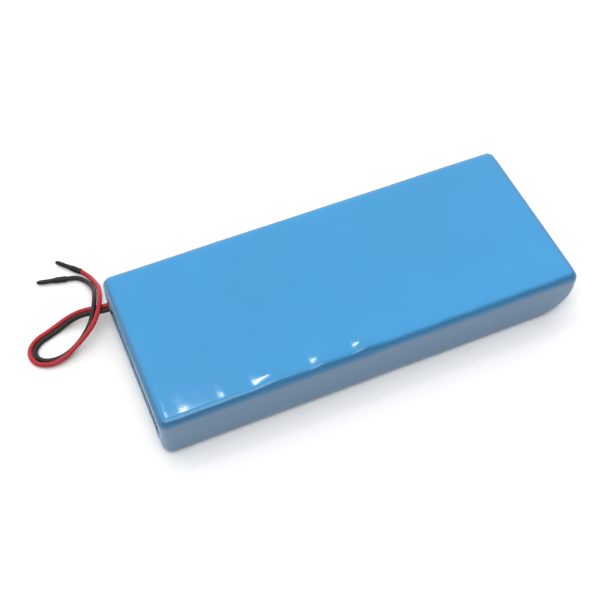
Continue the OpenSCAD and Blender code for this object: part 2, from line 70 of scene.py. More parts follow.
# How far a lead goes into its cap
GRIP_LEN = 5.0
# Where the pair of leads leaves the sleeve: its distance from the far side and its height
EXIT_INSET = 5.2
EXIT_Z = 8.2


def in_m(place):
    return tuple(float(c) * MM for c in place)


# ---- Camera ----

CAMERA_AT = (-124.46, -248.29, 406.15)
CAMERA_AZIMUTH = -22.92
CAMERA_ELEVATION = 55.27
FOCAL_PX = 1071.0
FRAME_PX = 600.0
SENSOR_WIDTH = 36.0
NEAREST_M = 0.01
FARTHEST_M = 20.0


def make_camera():
    data = bpy.data.cameras.new("camera")
    data.sensor_width = SENSOR_WIDTH
    data.lens = FOCAL_PX / FRAME_PX * SENSOR_WIDTH
    data.clip_start = NEAREST_M
    data.clip_end = FARTHEST_M
    camera = bpy.data.objects.new("camera", data)
    camera.location = in_m(CAMERA_AT)
    camera.rotation_euler = (math.radians(90 - CAMERA_ELEVATION), 0.0, math.radians(CAMERA_AZIMUTH))
    bpy.context.scene.collection.objects.link(camera)
    bpy.context.scene.camera = camera


make_camera()

# ---- Shader nodes ----

# Most of a noise texture's values lie between these
NOISE_LOW, NOISE_HIGH = 0.3, 0.7
# A wave texture at scale 1 has a band every this many metres
WAVE_PERIOD_M = 2 * math.pi / 20.0


def new_material(name, base, roughness, metallic=0.0, ior=1.5):
    """A material, its node tree, its shader and the piece's own coordinates."""
    material = bpy.data.materials.new(name)
    material.use_nodes = True
    tree = material.node_tree
    shader = next(n for n in tree.nodes if n.type == "BSDF_PRINCIPLED")
    shader.inputs["Base Color"].default_value = (*base, 1.0)
    shader.inputs["Roughness"].default_value = roughness
    shader.inputs["Metallic"].default_value = metallic
    shader.inputs["IOR"].default_value = ior
    coords = tree.nodes.new("ShaderNodeTexCoord")
    return material, tree, shader, coords.outputs["Object"]


def stretched(tree, vector, scale):
    """Coordinates multiplied by a scale for each axis."""
    node = tree.nodes.new("ShaderNodeMapping")
    node.inputs["Scale"].default_value = scale
    tree.links.new(vector, node.inputs["Vector"])
    return node.outputs["Vector"]


def axis_of(tree, vector, axis):
    """How far a vector reaches along X, Y or Z, whichever way."""
    node = tree.nodes.new("ShaderNodeSeparateXYZ")
    tree.links.new(vector, node.inputs[0])
    return maths(tree, "ABSOLUTE", node.outputs[axis], 0.0)


def noise(tree, vector, scale, detail=3.0, rough=0.55):
    node = tree.nodes.new("ShaderNodeTexNoise")
    node.inputs["Scale"].default_value = scale
    node.inputs["Detail"].default_value = detail
    node.inputs["Roughness"].default_value = rough
    tree.links.new(vector, node.inputs["Vector"])
    return node.outputs["Fac"]


def voronoi(tree, vector, scale):
    node = tree.nodes.new("ShaderNodeTexVoronoi")
    node.inputs["Scale"].default_value = scale
    tree.links.new(vector, node.inputs["Vector"])
    return node.outputs["Distance"]


def wave(tree, vector, pitch_m, direction, distortion):
    """Bands pitch_m apart along X, Y or Z."""
    node = tree.nodes.new("ShaderNodeTexWave")
    node.bands_direction = direction
    node.inputs["Scale"].default_value = WAVE_PERIOD_M / pitch_m
    node.inputs["Distortion"].default_value = distortion
    tree.links.new(vector, node.inputs["Vector"])
    return node.outputs["Fac"]


def remap(tree, value, low, high, out_low=0.0, out_high=1.0):
    """The value with the range low to high brought to out_low to out_high, and held there."""
    node = tree.nodes.new("ShaderNodeMapRange")
    for socket, number in zip(("From Min", "From Max", "To Min", "To Max"),
                              (low, high, out_low, out_high)):
        node.inputs[socket].default_value = number
    tree.links.new(value, node.inputs["Value"])
    return node.outputs["Result"]


def drift(tree, vector, scale, detail=3.0, out_low=0.0, out_high=1.0):
    """Noise spread evenly from out_low to out_high."""
    return remap(tree, noise(tree, vector, scale, detail), NOISE_LOW, NOISE_HIGH, out_low, out_high)


def maths(tree, operation, a, b):
    """A Math node; a and b are each a number or an output."""
    node = tree.nodes.new("ShaderNodeMath")
    node.operation = operation
    for socket, value in zip(node.inputs, (a, b)):
        if isinstance(value, (int, float)):
            socket.default_value = value
        else:
            tree.links.new(value, socket)
    return node.outputs[0]


def mixed_colour(tree, factor, first, second):
    """A colour that goes from first to second with factor; each is a colour or an output."""
    node = tree.nodes.new("ShaderNodeMix")
    node.data_type = "RGBA"
    colours = [s for s in node.inputs if s.type == "RGBA"]
    tree.links.new(factor, node.inputs["Factor"])
    for socket, value in zip(colours, (first, second)):
        if isinstance(value, tuple):
            socket.default_value = (*value, 1.0)
        else:
            tree.links.new(value, socket)
    return next(s for s in node.outputs if s.type == "RGBA")


def toned(colour, factor):
    return tuple(min(1.0, c * factor) for c in colour)


def shaded(tree, factor, base, dark, light):
    """The base colour from dark times to light times itself, with factor."""
    return mixed_colour(tree, factor, toned(base, dark), toned(base, light))


def coloured(tree, shader, colour):
    tree.links.new(colour, shader.inputs["Base Color"])


def bumped(tree, shader, height, distance_m, before=None):
    """Adds a bump of a height output, distance_m high at 1, to the shader's normal."""
    node = tree.nodes.new("ShaderNodeBump")
    node.inputs["Distance"].default_value = distance_m
    tree.links.new(height, node.inputs["Height"])
    if before is not None:
        tree.links.new(before, node.inputs["Normal"])
    tree.links.new(node.outputs["Normal"], shader.inputs["Normal"])
    return node.outputs["Normal"]


def varied(tree, shader, vector, base, scale, spread, rough_low, rough_high):
    """Base colour and roughness that drift over the surface."""
    coloured(tree, shader, shaded(tree, drift(tree, vector, scale), base, 1.0 - spread, 1.0 + spread))
    tree.links.new(drift(tree, vector, scale * 2.7, 3.0, rough_low, rough_high),
                   shader.inputs["Roughness"])


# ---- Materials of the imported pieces, by material slot ----

# Colour drift on moulded and rolled materials, in patches of about 17 mm
PATCH_SCALE = 60.0
GLASS_BUNDLE_M = 0.0011
TRACK_PITCH_M = 0.0024
COPPER_FOIL = (0.42, 0.22, 0.12)
TRACK_GREEN = (0.03, 0.24, 0.07)
DUST = (0.5, 0.45, 0.42)
# The black of the soft lead and of the caps' film, and both leads' and the caps' specular level
SOFT_BLACK = (0.008, 0.008, 0.009)
SOFT_SHINE = 0.28


def grained(name, base, roughness, grain_scale, grain_m, spread=0.08, metallic=0.0):
    """Moulded, rolled or printed material with a fine grain."""
    material, tree, shader, vector = new_material(name, base, roughness, metallic)
    varied(tree, shader, vector, base, PATCH_SCALE, spread,
           roughness * 0.85, min(1.0, roughness * 1.2))
    bumped(tree, shader, noise(tree, vector, grain_scale, 4.0), grain_m)
    return material


def fibrous(name, base):
    """Pressed paper: long fibres both ways and a cloudy colour."""
    material, tree, shader, vector = new_material(name, base, 0.85)
    along = noise(tree, stretched(tree, vector, (300.0, 2600.0, 2600.0)), 1.0, 5.0)
    across = noise(tree, stretched(tree, vector, (2600.0, 400.0, 500.0)), 1.0, 5.0)
    fibres = maths(tree, "MULTIPLY", along, across)
    cloudy = shaded(tree, drift(tree, vector, 90.0, 5.0), base, 0.95, 1.05)
    coloured(tree, shader,
             mixed_colour(tree, remap(tree, fibres, 0.22, 0.36), toned(base, 0.86), cloudy))
    bumped(tree, shader, fibres, 0.00012)
    return material


def woven_laminate(name, base):
    """Epoxy-glass sheet: a plain weave of glass bundles under a satin resin."""
    material, tree, shader, vector = new_material(name, base, 0.42)
    warp, weft, length = (wave(tree, vector, GLASS_BUNDLE_M, way, 0.3) for way in "YZX")
    weave = maths(tree, "MAXIMUM", maths(tree, "MULTIPLY", warp, weft),
                  maths(tree, "MULTIPLY", length, warp))
    body = shaded(tree, drift(tree, vector, 45.0, 4.0), base, 0.9, 1.08)
    coloured(tree, shader,
             mixed_colour(tree, remap(tree, weave, 0.1, 0.9), toned(base, 0.84), body))
    tree.links.new(remap(tree, weave, 0.0, 1.0, 0.5, 0.36), shader.inputs["Roughness"])
    bumped(tree, shader, weave, 0.00003)
    return material


def foam(name, base):
    material, tree, shader, vector = new_material(name, base, 0.92)
    pores = voronoi(tree, vector, 2200.0)
    # Darker at the pores' middles and lighter between them: painted shade in the pores
    coloured(tree, shader, shaded(tree, remap(tree, pores, 0.0, 0.5), base, 0.5, 1.5))
    bumped(tree, shader, pores, 0.0002)
    return material


def rolled_metal(name, base, roughness):
    """Metal with fine lines along its rolling direction, X."""
    material, tree, shader, vector = new_material(name, base, roughness, 1.0)
    lines = noise(tree, stretched(tree, vector, (60.0, 4000.0, 4000.0)), 1.0, 3.0)
    coloured(tree, shader, shaded(tree, drift(tree, vector, 120.0, 4.0), base, 0.88, 1.06))
    tree.links.new(remap(tree, lines, NOISE_LOW, NOISE_HIGH, roughness * 0.7, roughness * 1.35),
                   shader.inputs["Roughness"])
    bumped(tree, shader, lines, 0.00001)
    return material


def layered_roll(name, base):
    """The wound foils of a cell, seen as thin bands of graphite and copper."""
    material, tree, shader, vector = new_material(name, base, 0.6, 0.4)
    bands = noise(tree, stretched(tree, vector, (2500.0, 40.0, 2500.0)), 1.0, 2.0)
    coloured(tree, shader, mixed_colour(tree, remap(tree, bands, 0.35, 0.65), base, COPPER_FOIL))
    bumped(tree, shader, bands, 0.00005)
    return material


def circuit_laminate(name, base):
    """Green solder mask over copper tracks that run along the board."""
    material, tree, shader, vector = new_material(name, base, 0.3)
    tracks = wave(tree, vector, TRACK_PITCH_M, "Z", 2.0)
    covered = maths(tree, "MULTIPLY", remap(tree, tracks, 0.45, 0.55),
                    remap(tree, noise(tree, vector, 70.0, 1.0), 0.48, 0.52))
    coloured(tree, shader, mixed_colour(tree, covered, base, TRACK_GREEN))
    bumped(tree, shader, covered, 0.00004)
    return material


def clear_tape(name, base):
    """Thin tape with faint lines along its length."""
    material, tree, shader, vector = new_material(name, base, 0.22)
    cloud = drift(tree, stretched(tree, vector, (40.0, 300.0, 300.0)), 1.0)
    coloured(tree, shader, shaded(tree, cloud, base, 0.85, 1.12))
    bumped(tree, shader, noise(tree, stretched(tree, vector, (30.0, 900.0, 900.0)), 1.0), 0.00005)
    return material


def soft_insulation(name, base):
    """Silicone insulation: satin, with faint extrusion marks and a little dust."""
    material, tree, shader, vector = new_material(name, base, 0.42)
    shader.inputs["Specular IOR Level"].default_value = SOFT_SHINE
    fleck = remap(tree, noise(tree, vector, 1400.0, 4.0), 0.52, 0.72)
    body = shaded(tree, drift(tree, vector, 120.0), base, 0.9, 1.12)
    coloured(tree, shader, mixed_colour(tree, maths(tree, "MULTIPLY", fleck, 0.08), body, DUST))
    tree.links.new(remap(tree, fleck, 0.0, 1.0, 0.38, 0.6), shader.inputs["Roughness"])
    bumped(tree, shader, noise(tree, vector, 1800.0, 3.0), 0.00002)
    return material


# How each slot's material is made, and the maker's values after the name and the colour
PLAIN = (grained, (0.5, 1500.0, 0.00003))
GLOSSY = (grained, (0.28, 700.0, 0.00002, 0.06))
FINISHES = {
    "glass_epoxy_sheet": (woven_laminate, ()),
    "foam_sheet": (foam, ()),
    "insulating_paper": (fibrous, ()),
    "washer_paper": (fibrous, ()),
    "cell_steel": (rolled_metal, (0.3,)),
    "nickel_strip": (rolled_metal, (0.3,)),
    "tinned_strands": (rolled_metal, (0.25,)),
    "solder_metal": (grained, (0.22, 900.0, 0.00004, 0.1, 1.0)),
    "electrode_roll": (layered_roll, ()),
    "board_laminate": (circuit_laminate, ()),
    "tape_film": (clear_tape, ()),
    "red_insulation": (soft_insulation, ()),
    "black_insulation": (soft_insulation, ()),
    "silicone": (grained, (0.38, 500.0, 0.00006, 0.05)),
    "ceramic_body": (grained, (0.5, 1800.0, 0.00003, 0.12)),
    "cell_wrap_film": GLOSSY,
    "tap_insulation": GLOSSY,
    "sense_insulation": GLOSSY,
    "dark_insulation": GLOSSY,
}
# Where a slot's colour differs from the record's: dyes of their own, and tones of its colour
DYES = {"red_insulation": (0.38, 0.013, 0.021), "black_insulation": SOFT_BLACK}
TONES = {"glass_epoxy_sheet": 0.82, "silicone": 0.28}


def slot_material(slot, base):
    maker, values = FINISHES.get(slot, PLAIN)
    return maker(slot, toned(DYES.get(slot, base), TONES.get(slot, 1.0)), *values)


def dress(node, material):
    """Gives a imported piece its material, in every material slot that it has."""
    for place in node.material_slots:
        place.material = material
    if not node.material_slots:
        node.data.materials.append(material)


materials = {entry["slot"]: slot_material(entry["slot"], tuple(entry["base_color"][:3]))
             for entry in frame["record"]["materials"]}
for subpart in frame["record"]["subparts"]:
    dress(nodes[subpart["node"]], materials[subpart["material_slot"]])

# ---- Pieces made from points ----


def mesh_piece(name, points, faces, material, smooth=True):
    mesh = bpy.data.meshes.new(name)
    mesh.from_pydata([in_m(p) for p in points], [], faces)
    mesh.update()
    for polygon in mesh.polygons:
        polygon.use_smooth = smooth
    mesh.materials.append(material)
    piece = bpy.data.objects.new(name, mesh)
    bpy.context.scene.collection.objects.link(piece)
    return piece


def curve_piece(name, line, diameter, material):
    data = bpy.data.curves.new(name, "CURVE")
    data.dimensions = "3D"
    data.bevel_depth = diameter / 2 * MM
    data.bevel_resolution = 6
    data.use_fill_caps = True
    spline = data.splines.new("POLY")
    spline.points.add(len(line) - 1)
    for point, place in zip(spline.points, line):
        point.co = (*in_m(place), 1.0)
    data.materials.append(material)
    piece = bpy.data.objects.new(name, data)
    bpy.context.scene.collection.objects.link(piece)
    return piece


# ---- Free leads and their caps ----

# The pair's middle line: steps in X and Y from the exit, the height above the table and the
# pair's roll in degrees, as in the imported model's leads
PAIR_ROUTE = [
    (0, 0, 8.2, 0), (-2, 0, 8.2, 0), (-6, 0.9, 7.8, 0), (-10.5, 2.6, 6.4, 0),
    (-15, 3.7, 4.6, 0), (-19.8, 3.7, 2.8, 0), (-24.5, 2.7, 1.5, 0), (-29.2, 1.2, 1.1, 0),
    (-33.7, -0.5, 1.1, 0), (-37, -3.3, 1.1, 0), (-38.2, -6.9, 1.1, 0), (-37.2, -10.5, 1.2, 0),
    (-34.2, -13, 1.4, 10), (-30, -14, 1.6, 20), (-25, -13.5, 2.3, 40), (-20, -11.7, 3.6, 55),
    (-15, -9.3, 5.4, 50), (-10.2, -6.1, 7.8, 35), (-6.6, -1.8, 9.9, 15), (-4.2, 3.2, 10.6, 0),
    (-2.8, 8.4, 9.2, 0), (-2.2, 14, 6.2, 0), (-2.8, 19.2, 3.4, 0)]
# Where each lead goes on from there, and the heading of its capped end in degrees
LEADS = {
    "positive": {"side": 1, "slot": "red_insulation", "heading": 133.0,
                 "end": [(-3, 24.8, 1.6), (-5.6, 29.2, 1.4)]},
    "negative": {"side": -1, "slot": "black_insulation", "heading": 167.0,
                 "end": [(-5.4, 23.2, 1.5), (-8.4, 26.4, 1.4), (-13, 27.8, 1.4)]},
}
EXIT = np.array([-HALF_L, HALF_W - EXIT_INSET, 0.0])
# Points of the smooth line for each station of the route
LINE_STEPS = 6

# Points round the cap, and the most between two of its rings
CAP_WAYS = 40
CAP_ROW_GAP = 0.35
# The cap's tip is pressed flatter by this share, over these lengths from its end
TIP_FLAT = 0.16
TIP_FLAT_FROM = 5.0
TIP_FLAT_OVER = 4.0


def level_way(degrees):
    """The direction of a heading on the table."""
    turn = math.radians(degrees)
    return np.array([math.cos(turn), math.sin(turn), 0.0])


def lead_points(lead):
    """The points of a lead's centreline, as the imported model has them."""
    route = np.array(PAIR_ROUTE, float)
    places = route[:, :3]
    ahead = np.gradient(places[:, :2], axis=0)
    ahead[0] = (-1.0, 0.0)
    ahead /= np.linalg.norm(ahead, axis=1)[:, None]
    roll = np.radians(route[:, 3])
    aside = np.stack([ahead[:, 1] * np.cos(roll), -ahead[:, 0] * np.cos(roll), np.sin(roll)], 1)
    end = np.array(lead["end"], float)
    way = level_way(lead["heading"])
    grip = [end[-1] + way * GRIP_LEN / 2, end[-1] + way * GRIP_LEN]
    return np.concatenate([places + lead["side"] * PAIR_GAP / 2 * aside, end, grip]) + EXIT


def smooth_line(points):
    """A Catmull-Rom line through the points, kept on or above the table."""
    line = []
    last = len(points) - 1
    for i in range(last):
        a, b, c, d = (points[min(max(k, 0), last)] for k in (i - 1, i, i + 1, i + 2))
        for t in np.linspace(0, 1, LINE_STEPS, endpoint=False):
            line.append(0.5 * (2 * b + (c - a) * t + (2 * a - 5 * b + 4 * c - d) * t ** 2
                               + (3 * b - a - 3 * c + d) * t ** 3))
    line.append(points[last])
    line = np.array(line)
    line[:, 2] = np.maximum(line[:, 2], LEAD_D / 2)
    return line


def cap_material():
    """Shrunk black film: satin, with a fine uneven grain."""
    material, tree, shader, vector = new_material("cap_film", SOFT_BLACK, 0.4)
    shader.inputs["Specular IOR Level"].default_value = SOFT_SHINE
    varied(tree, shader, vector, SOFT_BLACK, 300.0, 0.25, 0.32, 0.55)
    bumped(tree, shader, noise(tree, vector, 1600.0, 4.0), 0.00004)
    return material


def cap_rows():
    """The cap's rings, each as the distance from its mouth and the radius: round the mouth's
    edge, along the grip, in past the lead's end and to the tip."""
    bore, half = LEAD_D / 2 + 0.02, CAP_D / 2
    wall = (CAP_D - LEAD_D) / 2
    profile = [(0.6, bore), (0.0, bore), (0.0, half - 0.12), (0.12, half), (1.2, half - 0.03),
               (2.8, half), (GRIP_LEN - 0.6, half), (GRIP_LEN + 0.8, half - wall * 0.75),
               (GRIP_LEN + 2.2, half - wall * 1.15), (CAP_LEN - 3.4, half - wall * 1.1),
               (CAP_LEN - 1.6, half - wall * 1.25), (CAP_LEN - 0.7, half - wall * 1.9),
               (CAP_LEN - 0.2, half - wall * 3.0), (CAP_LEN, 0.05)]
    rows = []
    for (s0, r0), (s1, r1) in zip(profile, profile[1:]):
        steps = max(1, int(round(math.hypot(s1 - s0, r1 - r0) / CAP_ROW_GAP)))
        for k in range(steps):
            t = k / steps
            rows.append((s0 + (s1 - s0) * t, r0 + (r1 - r0) * t))
    return rows + [profile[-1]]


def end_cap(name, mouth, heading, material):
    """A shrunk cap that grips the lead, necks in past its insulation and closes at its tip, with
    small uneven ripples round it."""
    ahead, left = level_way(heading), level_way(heading + 90)
    rows = cap_rows()
    points, faces = [], []
    for s, r in rows:
        flat = 1.0 - TIP_FLAT * min(1.0, max(0.0, (s - CAP_LEN + TIP_FLAT_FROM) / TIP_FLAT_OVER))
        for w in range(CAP_WAYS):
            a = 2 * math.pi * w / CAP_WAYS
            ripple = 1.0 + 0.012 * math.sin(3 * a + 1.7 * s) + 0.01 * math.sin(5 * a - 0.9 * s)
            points.append(mouth + ahead * s + left * math.cos(a) * r * ripple
                          + np.array([0.0, 0.0, math.sin(a) * r * flat * ripple]))
    for k in range(len(rows) - 1):
        this, following = k * CAP_WAYS, (k + 1) * CAP_WAYS
        for w in range(CAP_WAYS):
            n = (w + 1) % CAP_WAYS
            faces.append((this + w, this + n, following + n, following + w))
    faces.append(tuple(reversed(range(CAP_WAYS))))
    faces.append(tuple((len(rows) - 1) * CAP_WAYS + w for w in range(CAP_WAYS)))
    return mesh_piece(name, points, faces, material)


def make_lead(charge, lead, cap_film):
    """One lead with its cap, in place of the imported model's plain solids."""
    stations = lead_points(lead)
    line = smooth_line(stations)
    cord = curve_piece(charge + "_output_lead", line, LEAD_D, materials[lead["slot"]])
    cap = end_cap(charge + "_shrunk_cap", stations[-3], lead["heading"], cap_film)
    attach(cord, "root")
    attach(cap, "root")
    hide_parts(charge + "_lead")
    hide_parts(charge + "_end_cap")


cap_film = cap_material()
for charge, lead in LEADS.items():
    make_lead(charge, lead, cap_film)

# ---- Film sleeve: its shape ----

# The film's thickness, and how far its lips reach back to the end board and the paper
FILM_T = 0.38
LIP_DEPTH = 0.97
# The gathered film dips by this much towards its opening
RIM_DIP = 0.5
# How far the film reaches in over the ends: elsewhere, over the heel and beside the leads
RIM_W = 5.4
HEEL_RIM_W = 6.8
NOTCH_RIM_W = 2.4
# The step back round the leads: where it starts and ends, above and below their height
NOTCH_FROM = 2.0
NOTCH_TO = 3.4
# The rings of a lip: how deep, how far back from the opening's edge, share of the film's detail
LIP_ROWS = [(LIP_DEPTH, 2.6, 0.0), (LIP_DEPTH, 1.2, 0.0), (0.88, 0.0, 0.4),
            (RIM_DIP + 0.12, -0.12, 1.0)]

# Even places round the cross-section, rings along the sleeve, and rings over each end
PLACE_GAP = 0.70
CORNER_STEPS = 12
BODY_STEPS = 180
INNER_STEPS = 40
ARC_STEPS = 9
RIM_STEPS = 10

# Where the film rises towards +X over each cell: the place, the rise's width and its height
CELL_RISES = [(-86.3, 3.0, 0.11), (-69.5, 3.0, 0.145), (-51.7, 9.5, 0.78), (-28.4, 5.0, 0.61),
              (-8.8, 5.8, 0.91), (9.5, 5.0, 0.22), (28.5, 5.0, 0.26), (47.5, 5.0, 0.20),
              (66.5, 5.0, 0.24), (85.5, 5.0, 0.16)]
# The rises are sampled this finely, beyond both ends, and blurred over this many samples
RISE_STEP = 0.25
RISE_REACH = 110.0
RISE_START = -120.0
RISE_BLUR = 15
# Between the rises the film lies lower than the plain skin
SWELL_SUNK = 0.18
# The swells fade out near the ends between these distances from them
SWELL_END_FADE = (3.0, 12.0)
# Their middle lines and half widths on the top and on the long sides
TOP_SWELL_Y, TOP_SWELL_HALF = 34.8, 4.6
SIDE_SWELL_Z, SIDE_SWELL_HALF = 6.5, 3.0
# Their share on the top's far edge and on the sides
FAR_SWELL = 0.35
SIDE_SWELL = 0.3
# The top falls away from here towards the long edges
SHOULDER_Y = 33.0
SHOULDER_CURVE = 0.009
# As a normal's reach along an axis goes from the first number to the second, its face comes to
# count as the top or a side, as part of the top's shoulders, or as resting on the table
FACING = (0.5, 0.95)
SHOULDER_FACING = (0.0, 0.5)
RESTING = (0.15, 0.85)

# The pleats' seed, the counts of waves round the ring and their height
PLEAT_SEED = 11
PLEAT_WAVES = (23, 31, 44, 57, 71)
PLEAT_HEIGHT = 0.13 / 3.2
# Tight folds at the corners: the count, share and phase of each wave, their height, and how many
# places along they reach
FOLD_WAVES = [(88, 1.0, 1.3), (64, 0.6, 0.4)]
FOLD_HEIGHT = 0.22
FOLD_REACH = 14.0
# Pleats at the end's rounding, as a share of those at the opening
PLEAT_AT_EDGE = 0.35

# The opening's wavy edge: the seed, the counts of waves round it, and how many places the step
# to the heel is blurred over
OPENING_SEED = 5
OPENING_WAVES = (7, 13, 22, 37)
OPENING_BLUR = 9

# The step that normals are measured over, and how often a point is moved towards the skin
PROBE = 0.01
SKIN_STEPS = 4


def smooth_step(x, low, high):
    t = np.clip((x - low) / (high - low), 0.0, 1.0)
    return t * t * (3 - 2 * t)


def cross_section():
    """Even places round the sleeve, seen along X. For each, the centre of its rounding as a
    share of the way out in Y and Z, and the direction that it faces."""
    runs = [("line", (-1, 1), (1, 1)), ("arc", (1, 1), 90), ("line", (1, 1), (1, -1)),
            ("arc", (1, -1), 0), ("line", (1, -1), (-1, -1)), ("arc", (-1, -1), -90),
            ("line", (-1, -1), (-1, 1)), ("arc", (-1, 1), 180)]
    straight = np.array([HALF_W - EDGE_R, HEIGHT / 2 - EDGE_R])
    centres, ways = [], []
    for kind, start, end in runs:
        a = np.array(start, float)
        if kind == "line":
            b = np.array(end, float)
            steps = int(round(np.linalg.norm((b - a) * straight) / PLACE_GAP))
            way = np.where(a == b, a, 0.0)
            for k in range(steps):
                centres.append(a + (b - a) * k / steps)
                ways.append(way)
        else:
            for k in range(CORNER_STEPS):
                turn = math.radians(end - 90 * k / CORNER_STEPS)
                centres.append(a)
                ways.append(np.array([math.cos(turn), math.sin(turn)]))
    return np.array(centres), np.array(ways)


CENTRES, WAYS = cross_section()
PLACES = len(CENTRES)
PLACE_ANGLES = np.arange(PLACES) * 2 * np.pi / PLACES


def surface_distance(p):
    """Distance from the film's plain outer skin, less than 0 inside: a rounded box with a heel."""
    x, y, z = p[:, 0], p[:, 1], p[:, 2]
    qx = np.abs(x) - (HALF_L - EDGE_R)
    qz = np.abs(z - HEIGHT / 2) - (HEIGHT / 2 - EDGE_R)
    box = (np.hypot(np.maximum(qx, 0), np.maximum(qz, 0))
           + np.minimum(np.maximum(qx, qz), 0) - EDGE_R)
    cx, cz = HALF_L - HEEL_R, HEEL_R
    heel = np.where((x > cx) & (z < cz), np.hypot(x - cx, z - cz) - HEEL_R, -np.inf)
    profile = np.maximum(box, heel) + EDGE_R
    side = np.abs(y) - HALF_W + EDGE_R
    return (np.hypot(np.maximum(profile, 0), np.maximum(side, 0))
            + np.minimum(np.maximum(profile, side), 0) - EDGE_R)


def outward(p):
    """Unit normals of the plain skin at the points p."""
    steps = np.eye(3) * PROBE
    slope = np.stack([surface_distance(p + s) - surface_distance(p - s) for s in steps], 1)
    return slope / np.linalg.norm(slope, axis=1)[:, None]


def on_skin(p):
    """The points moved onto the plain skin. Points past the heel's arc first go straight
    towards its axis."""
    p = p.copy()
    cx, cz = HALF_L - HEEL_R, HEEL_R
    reach = np.hypot(p[:, 0] - cx, p[:, 2] - cz)
    past = (p[:, 0] > cx) & (p[:, 2] < cz) & (reach > HEEL_R)
    squeeze = np.where(past, HEEL_R / np.maximum(reach, 1e-6), 1.0)
    p[:, 0] = np.where(past, cx + (p[:, 0] - cx) * squeeze, p[:, 0])
    p[:, 2] = np.where(past, cz + (p[:, 2] - cz) * squeeze, p[:, 2])
    for _ in range(SKIN_STEPS):
        p -= outward(p) * surface_distance(p)[:, None]
    return p


def ring_points(x, inset):
    """One ring of the film tube at x, moved in by inset, a number or one for each place."""
    inset = np.broadcast_to(inset, (PLACES,))
    y = CENTRES[:, 0] * (HALF_W - EDGE_R - inset) + WAYS[:, 0] * EDGE_R
    z = CENTRES[:, 1] * (HEIGHT / 2 - EDGE_R - inset) + WAYS[:, 1] * EDGE_R + HEIGHT / 2
    return np.stack([np.full(PLACES, float(x)), y, z], 1)


def rise_profile():
    """The film's height over the cells along X: a short rise and a long fall for each cell."""
    knots, heights = [RISE_START], [0.0]
    for at, width, height in CELL_RISES:
        knots += [at - width / 2, at + width / 2]
        heights += [0.0, height]
    knots.append(CELL_RISES[-1][0] + CELL_PITCH)
    heights.append(0.0)
    x = np.arange(-RISE_REACH, RISE_REACH, RISE_STEP)
    kernel = np.hanning(RISE_BLUR)
    return x, np.convolve(np.interp(x, knots, heights), kernel / kernel.sum(), "same")


RISE_X, RISE_HEIGHT = rise_profile()


def cell_swells(x, y, z, up, side):
    """The cells' swells along the top's two long edges and along the sides."""
    over_cell = np.interp(x, RISE_X, RISE_HEIGHT) - SWELL_SUNK
    along = smooth_step(HALF_L - np.abs(x), *SWELL_END_FADE)
    top = np.exp(-((np.abs(y) - TOP_SWELL_Y) / TOP_SWELL_HALF) ** 2)
    flank = np.exp(-((np.abs(z - HEIGHT / 2) - SIDE_SWELL_Z) / SIDE_SWELL_HALF) ** 2)
    top_edge = top * smooth_step(up, *FACING)
    side_edge = flank * smooth_step(side, *FACING)
    return over_cell * along * (np.where(y < 0, 1.0, FAR_SWELL) * top_edge + SIDE_SWELL * side_edge)


def slow_waves(x, y, z):
    """The shrunk film's long uneven waves, up to 0.115 mm high."""
    return (0.05 * np.sin(x / 17.0 + 0.7) * np.sin(y / 13.0 + 1.1)
            + 0.035 * np.sin(x / 9.0 - y / 21.0 + 2.0) + 0.03 * np.sin(z / 3.1 + x / 29.0))


def film_detail(p, normals, gather):
    """How far the skin moves along its normal: the cells' swells, the top's soft shoulders, the
    slow waves and the gathered pleats. The underside rests flat."""
    x, y, z = p[:, 0], p[:, 1], p[:, 2]
    up, side = normals[:, 2], np.abs(normals[:, 1])
    beyond = np.clip(np.abs(y) - SHOULDER_Y, 0.0, HALF_W - EDGE_R - SHOULDER_Y)
    shoulder = SHOULDER_CURVE * beyond ** 2 * smooth_step(up, *SHOULDER_FACING)
    lifted = 1.0 - smooth_step(-up, *RESTING)
    return (cell_swells(x, y, z, up, side) - shoulder + slow_waves(x, y, z) + gather) * lifted


def moved(naive, gather, keep=1.0, depth=0.0):
    """Ring points put on the plain skin, then moved by the share keep of the film's detail and,
    inwards, by depth."""
    skin = on_skin(naive)
    out = outward(skin)
    points = skin + out * (film_detail(skin, out, gather) * keep - depth)[:, None]
    points[:, 2] = np.maximum(points[:, 2], 0.0)
    return points


def pleats(end):
    """The gathered film's pleats round one end's opening: random waves and tight folds at the
    corners."""
    rng = random.Random(PLEAT_SEED + end)
    nearness = np.zeros(PLACES)
    for k in np.flatnonzero((np.abs(WAYS) > 1e-6).all(axis=1)):
        gap = np.abs(np.arange(PLACES) - k)
        gap = np.minimum(gap, PLACES - gap)
        nearness = np.maximum(nearness, np.exp(-(gap / FOLD_REACH) ** 2))
    waves = np.zeros(PLACES)
    for count in PLEAT_WAVES:
        height = rng.uniform(0.5, 1.0)
        waves += height * np.sin(count * PLACE_ANGLES + rng.uniform(0, 6.28))
    folds = sum(share * np.sin(count * PLACE_ANGLES + phase) for count, share, phase in FOLD_WAVES)
    return PLEAT_HEIGHT * waves + FOLD_HEIGHT * nearness * folds


